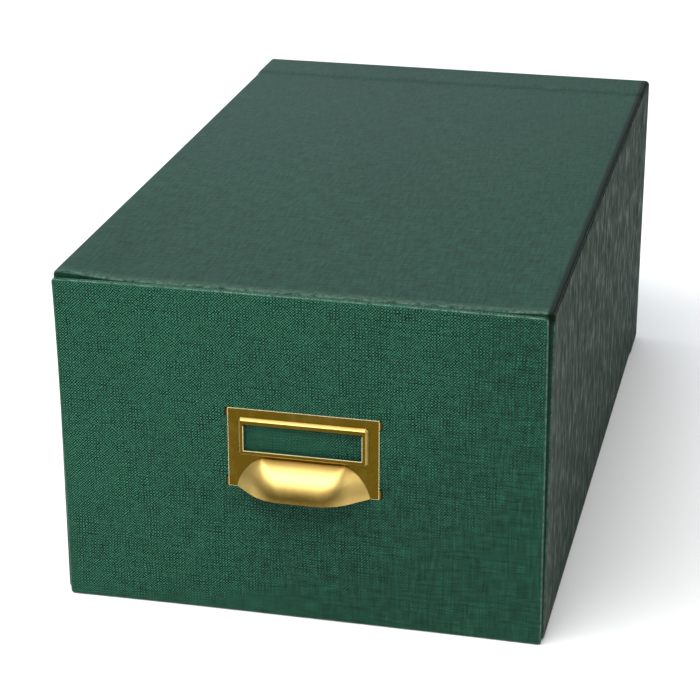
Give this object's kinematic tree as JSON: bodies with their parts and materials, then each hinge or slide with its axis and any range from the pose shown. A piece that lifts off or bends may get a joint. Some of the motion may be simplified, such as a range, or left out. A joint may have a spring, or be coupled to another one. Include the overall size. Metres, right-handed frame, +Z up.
{
  "type": "index card box",
  "caption": "Covered board case with a full-depth drawer for index cards, its false front carrying a pressed brass pull with a label window.",
  "frame": {"origin": "on the table, under the middle of the whole box's width and depth with its pull", "axes": "+X to the right along the front, +Y from the front with the pull to the back, +Z up"},
  "size_m": [0.1708, 0.3006, 0.1204],
  "materials": {
    "green_cover": "dark green linen-grained cover paper, matt with a faint sheen",
    "grey_board": "raw grey board, fibrous, cut edges",
    "base_paper": "smooth dark green-black paper",
    "lining_paper": "matt cream lining paper",
    "gummed_tape": "brown gummed paper tape",
    "pressed_brass": "brass-plated pressed sheet, satin with polished edges"
  },
  "bodies": {
    "case": {"case_left_board": "grey_board", "case_right_board": "grey_board", "case_top_board": "grey_board", "case_bottom_board": "grey_board", "case_back_board": "grey_board", "case_wrap": "green_cover", "case_back_cover": "green_cover", "case_base_sheet": "base_paper", "case_top_left_tape": "gummed_tape", "case_top_right_tape": "gummed_tape", "case_bottom_left_tape": "gummed_tape", "case_bottom_right_tape": "gummed_tape"},
    "drawer": {"drawer_left_board": "grey_board", "drawer_right_board": "grey_board", "drawer_inner_board": "grey_board", "drawer_back_board": "grey_board", "drawer_floor_board": "grey_board", "drawer_wrap": "green_cover", "drawer_base_sheet": "base_paper", "drawer_wall_lining": "lining_paper", "drawer_floor_lining": "lining_paper", "front_board": "grey_board", "front_cover": "green_cover", "label_pull": "pressed_brass"}
  },
  "joints": [
    {"name": "drawer_slide", "type": "slide", "parent": "case", "child": "drawer", "axis": [0, -1, 0], "range_m": [0, 0.285]}
  ]
}
